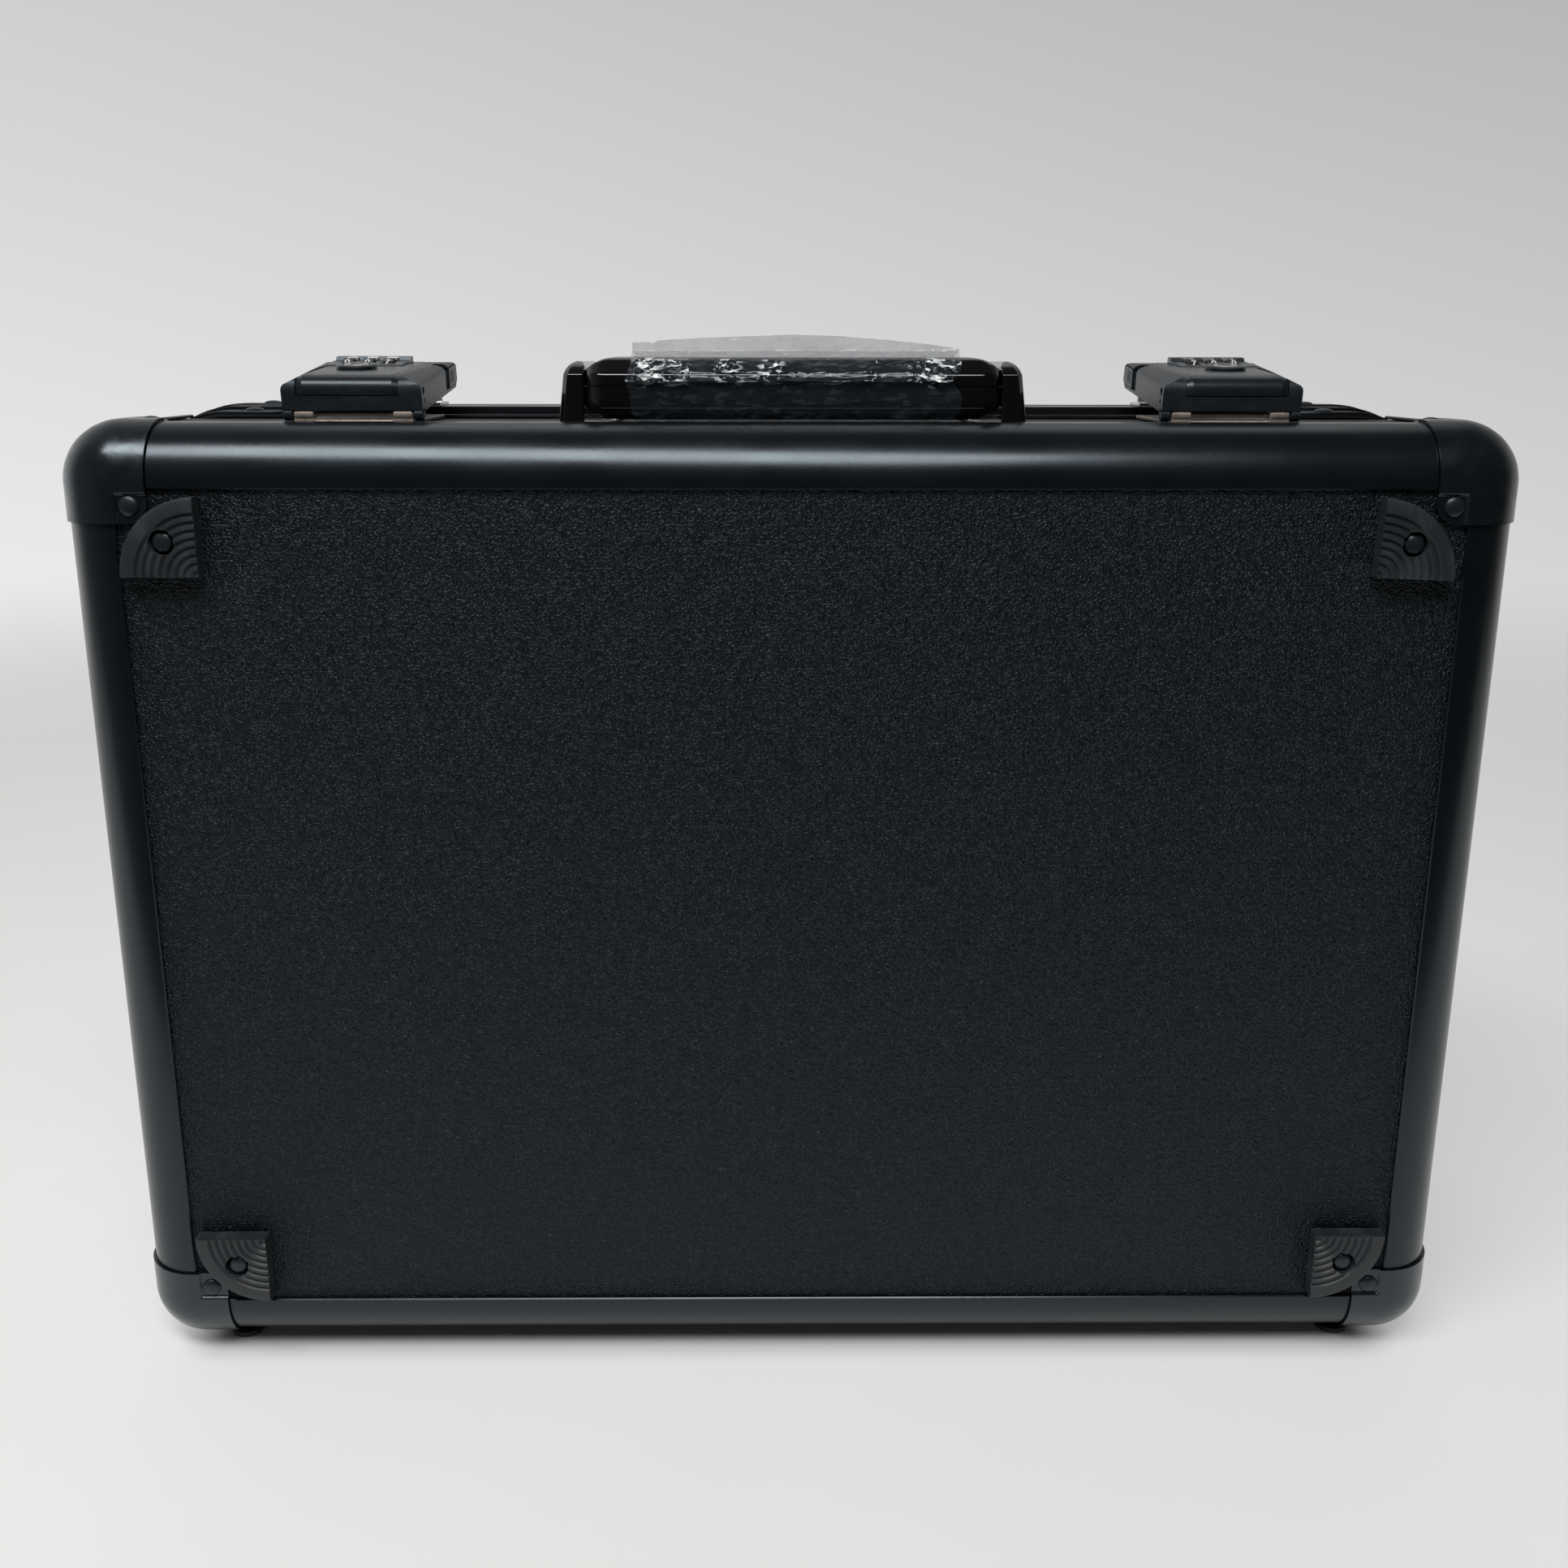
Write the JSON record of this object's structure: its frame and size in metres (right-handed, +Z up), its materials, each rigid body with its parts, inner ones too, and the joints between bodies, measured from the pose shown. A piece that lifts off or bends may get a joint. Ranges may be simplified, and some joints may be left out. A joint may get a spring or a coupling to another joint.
{
  "type": "graded card storage case",
  "caption": "Black framed hard case with a hinged lid, folding handle, combination latches and a foam insert for rows of graded card slabs.",
  "frame": {"origin": "middle of the bounding box at the floor, with the case standing on its hinge side", "axes": "+X to the right across the case's length, +Y from the base panel with the quarter-disc feet towards the lid, +Z up through the handle and latches"},
  "size_m": [0.455, 0.1606, 0.339],
  "materials": {
    "pebble_sheet": "black pebble-grained sheet",
    "satin_rail": "satin black coated extrusion",
    "corner_cap": "semi-gloss black paint",
    "frame_black": "satin black coated extrusion",
    "foot_rubber": "dark grey moulded rubber",
    "stand_rubber": "black rubber",
    "foam": "black closed-cell foam",
    "hinge_steel": "black coated steel",
    "handle_plastic": "gloss black",
    "latch_body": "black fine-textured moulding",
    "latch_plate": "bronze-brown plated steel",
    "dial_plastic": "black with white digits",
    "plug_steel": "bright plated",
    "strike_steel": "zinc-plated steel",
    "rivet_black": "dark coated rivet heads",
    "clear_film": "clear crumpled protective film"
  },
  "bodies": {
    "base": {"base_panel": "pebble_sheet", "base_wall_top": "pebble_sheet", "base_wall_bottom": "pebble_sheet", "base_wall_left": "pebble_sheet", "base_wall_right": "pebble_sheet", "base_rail_top": "satin_rail", "base_rail_bottom": "satin_rail", "base_rail_left": "satin_rail", "base_rail_right": "satin_rail", "base_post_top_left": "satin_rail", "base_post_top_right": "satin_rail", "base_post_bottom_left": "satin_rail", "base_post_bottom_right": "satin_rail", "base_corner_cap_top_left": "corner_cap", "base_corner_cap_top_right": "corner_cap", "base_corner_cap_bottom_left": "corner_cap", "base_corner_cap_bottom_right": "corner_cap", "base_frame": "frame_black", "panel_foot_top_left": "foot_rubber", "panel_foot_top_right": "foot_rubber", "panel_foot_bottom_left": "foot_rubber", "panel_foot_bottom_right": "foot_rubber", "base_stand_foot_left": "stand_rubber", "base_stand_foot_right": "stand_rubber", "slab_foam_insert": "foam", "hinge_leaf_base_with_pin": "hinge_steel", "handle_bracket_left": "handle_plastic", "handle_bracket_right": "handle_plastic", "latch_plate_left": "latch_plate", "latch_plate_right": "latch_plate"},
    "lid": {"lid_panel": "pebble_sheet", "lid_wall_band": "pebble_sheet", "lid_rail_top": "satin_rail", "lid_rail_bottom": "satin_rail", "lid_rail_left": "satin_rail", "lid_rail_right": "satin_rail", "lid_corner_cap_top_left": "corner_cap", "lid_corner_cap_top_right": "corner_cap", "lid_corner_cap_bottom_left": "corner_cap", "lid_corner_cap_bottom_right": "corner_cap", "lid_frame": "frame_black", "lid_stand_foot_left": "stand_rubber", "lid_stand_foot_right": "stand_rubber", "lid_foam_pad": "foam", "hinge_leaf_lid": "hinge_steel", "latch_strike_left": "strike_steel", "latch_strike_right": "strike_steel"},
    "handle": {"handle_grip": "handle_plastic"},
    "lever_left": {"latch_lever_left": "latch_body"},
    "dial_left_1": {"latch_dial_left_1": "dial_plastic"},
    "dial_left_2": {"latch_dial_left_2": "dial_plastic"},
    "dial_left_3": {"latch_dial_left_3": "dial_plastic"},
    "key_plug_left": {"latch_key_plug_left": "plug_steel"},
    "slide_button_left": {"latch_slide_button_left": "latch_body"},
    "lever_right": {"latch_lever_right": "latch_body"},
    "dial_right_1": {"latch_dial_right_1": "dial_plastic"},
    "dial_right_2": {"latch_dial_right_2": "dial_plastic"},
    "dial_right_3": {"latch_dial_right_3": "dial_plastic"},
    "key_plug_right": {"latch_key_plug_right": "plug_steel"},
    "slide_button_right": {"latch_slide_button_right": "latch_body"}
  },
  "joints": [
    {"name": "lid_hinge", "type": "hinge", "parent": "base", "child": "lid", "pos_m": [0, 0.01315, 0.0036], "axis": [-1, 0, 0], "range_deg": [0, 93]},
    {"name": "handle_swing", "type": "hinge", "parent": "base", "child": "handle", "pos_m": [0, -0.00835, 0.3285], "axis": [-1, 0, 0], "range_deg": [0, 150]},
    {"name": "latch_left_swing", "type": "hinge", "parent": "base", "child": "lever_left", "pos_m": [-0.1377, -0.04885, 0.3214], "axis": [1, 0, 0], "range_deg": [-7, 73]},
    {"name": "dial_left_1_spin", "type": "hinge", "parent": "lever_left", "child": "dial_left_1", "pos_m": [-0.1484, -0.00896, 0.33295], "axis": [1, 0, 0], "continuous": true},
    {"name": "dial_left_2_spin", "type": "hinge", "parent": "lever_left", "child": "dial_left_2", "pos_m": [-0.1417, -0.00896, 0.33295], "axis": [1, 0, 0], "continuous": true},
    {"name": "dial_left_3_spin", "type": "hinge", "parent": "lever_left", "child": "dial_left_3", "pos_m": [-0.135, -0.00896, 0.33295], "axis": [1, 0, 0], "continuous": true},
    {"name": "key_left_turn", "type": "hinge", "parent": "lever_left", "child": "key_plug_left", "pos_m": [-0.1417, -0.02625, 0.33425], "axis": [0, -0.1219, 0.9925], "range_deg": [0, 90]},
    {"name": "button_left_slide", "type": "slide", "parent": "lever_left", "child": "slide_button_left", "axis": [0, -0.9925, -0.1219], "range_m": [0, 0.004], "stiffness_N_per_m": 250},
    {"name": "latch_right_swing", "type": "hinge", "parent": "base", "child": "lever_right", "pos_m": [0.1377, -0.04885, 0.3214], "axis": [1, 0, 0], "range_deg": [-7, 73]},
    {"name": "dial_right_1_spin", "type": "hinge", "parent": "lever_right", "child": "dial_right_1", "pos_m": [0.135, -0.00896, 0.33295], "axis": [1, 0, 0], "continuous": true},
    {"name": "dial_right_2_spin", "type": "hinge", "parent": "lever_right", "child": "dial_right_2", "pos_m": [0.1417, -0.00896, 0.33295], "axis": [1, 0, 0], "continuous": true},
    {"name": "dial_right_3_spin", "type": "hinge", "parent": "lever_right", "child": "dial_right_3", "pos_m": [0.1484, -0.00896, 0.33295], "axis": [1, 0, 0], "continuous": true},
    {"name": "key_right_turn", "type": "hinge", "parent": "lever_right", "child": "key_plug_right", "pos_m": [0.1417, -0.02625, 0.33425], "axis": [0, -0.1219, 0.9925], "range_deg": [0, 90]},
    {"name": "button_right_slide", "type": "slide", "parent": "lever_right", "child": "slide_button_right", "axis": [0, -0.9925, -0.1219], "range_m": [0, 0.004], "stiffness_N_per_m": 250}
  ]
}
